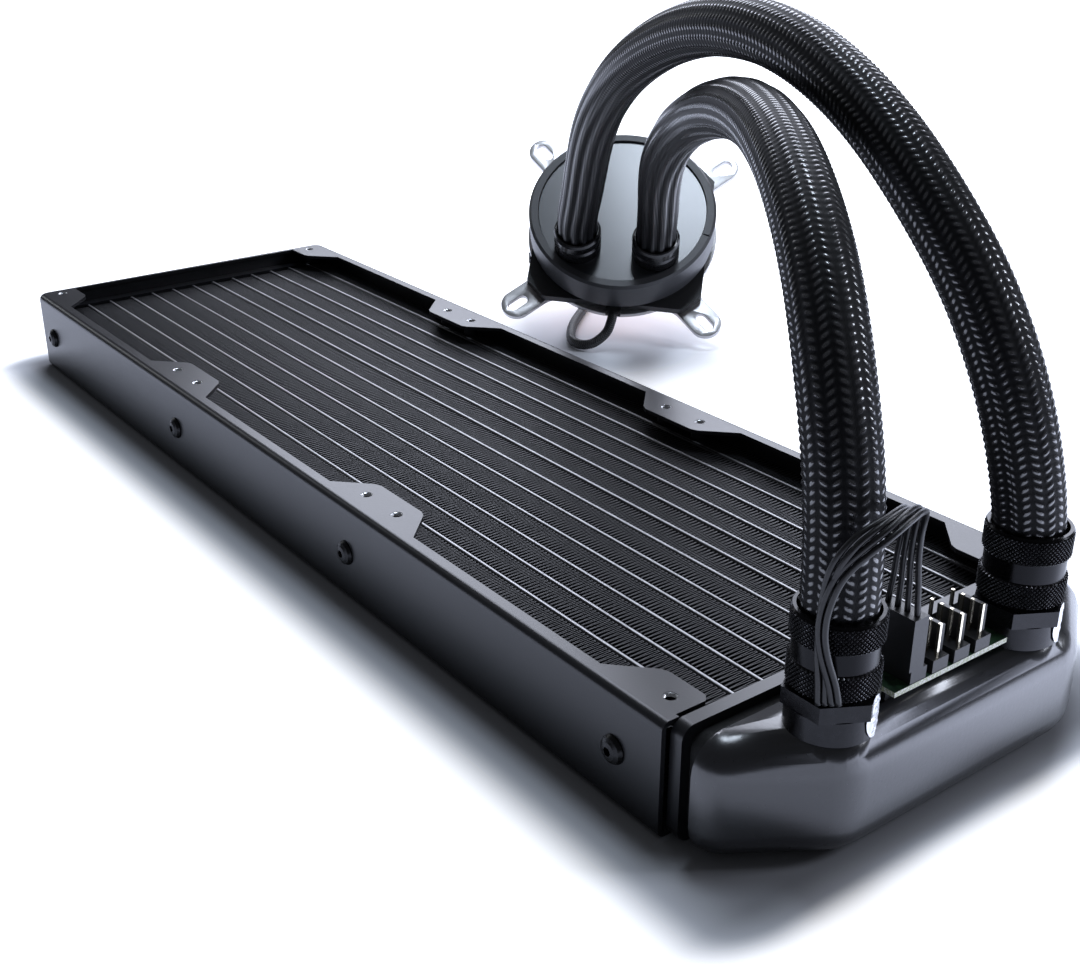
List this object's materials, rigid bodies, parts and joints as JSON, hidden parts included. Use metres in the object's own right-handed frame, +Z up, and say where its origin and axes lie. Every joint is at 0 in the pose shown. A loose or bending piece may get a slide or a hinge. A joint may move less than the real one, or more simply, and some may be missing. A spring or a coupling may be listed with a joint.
{
  "type": "all in one liquid cooler",
  "caption": "Closed loop processor cooler: slim radiator with finned core, two braided hoses on knurled fittings and a round pump block with a slotted bracket.",
  "frame": {"origin": "centre of the outer fan screw pattern, on the underside of the radiator", "axes": "+X along the radiator to its tank, +Y across it towards the pump block, +Z up"},
  "size_m": [0.3903, 0.2913, 0.1506],
  "materials": {
    "black_paint": "satin black powder coat",
    "black_zinc": "black oxide screws",
    "fin_metal": "dark coated fins",
    "tube_metal": "brazed tube edges",
    "black_anodised": "black anodised, satin",
    "black_rubber": "matt",
    "foil": "thin bright foil",
    "board_green": "solder mask",
    "header_black": "moulded",
    "pin_metal": "tinned pins",
    "braid": "braided sleeve",
    "cable_black": "cable jacket",
    "bright_steel": "polished bracket",
    "copper": "copper, fine machined",
    "screw_steel": "plain screws",
    "black_plastic": "moulded",
    "ring_black": "soft satin",
    "cap_gloss": "mirror gloss black",
    "white_plastic": "moulded",
    "ceramic": "ceramic",
    "magnet": "ferrite",
    "core_steel": "laminations",
    "coil_copper": "enamelled wire"
  },
  "bodies": {
    "cooler": {"casing": "black_paint", "side_screws": "black_zinc", "flat_tubes": "tube_metal", "fin_strips": "fin_metal", "return_tank": "black_paint", "header_plate": "black_paint", "tank_gasket": "black_rubber", "end_tank": "black_paint", "fitting_body_near": "black_anodised", "fitting_body_far": "black_anodised", "port_seals": "black_rubber", "locking_ring_near": "black_anodised", "locking_ring_far": "black_anodised", "foil_seals": "foil", "hub_pad": "black_rubber", "hub_board": "board_green", "fan_headers": "header_black", "header_pins": "pin_metal", "lead_plug": "header_black", "hub_lead": "cable_black", "hose_outer": "braid", "hose_inner": "braid", "mount_bracket": "bright_steel", "copper_plate": "copper", "plate_screws": "screw_steel", "plate_seal": "black_rubber", "pump_base": "black_plastic", "pump_shell": "black_plastic", "pump_cap": "cap_gloss", "stub_left": "black_plastic", "stub_right": "black_plastic", "stub_seals": "black_rubber", "hose_collar_left": "black_plastic", "hose_collar_right": "black_plastic", "rotor_can": "black_plastic", "rotor_shaft": "ceramic", "stator_core": "core_steel", "stator_coils": "coil_copper", "drive_board": "board_green", "cable_gland": "black_rubber", "pump_cable": "cable_black", "cable_coil": "cable_black", "cable_plug": "header_black"},
    "selector_ring": {"turning_ring": "ring_black"},
    "rotor": {"impeller": "white_plastic", "rotor_magnet": "magnet"}
  },
  "joints": [
    {"name": "ring_turn", "type": "hinge", "parent": "cooler", "child": "selector_ring", "pos_m": [-0.08078, 0.14598, 0.04505], "axis": [0.4921, -0.4264, 0.759], "range_deg": [0, 20]},
    {"name": "rotor_spin", "type": "hinge", "parent": "cooler", "child": "rotor", "pos_m": [-0.08403, 0.14879, 0.04004], "axis": [0.4921, -0.4264, 0.759], "continuous": true}
  ]
}
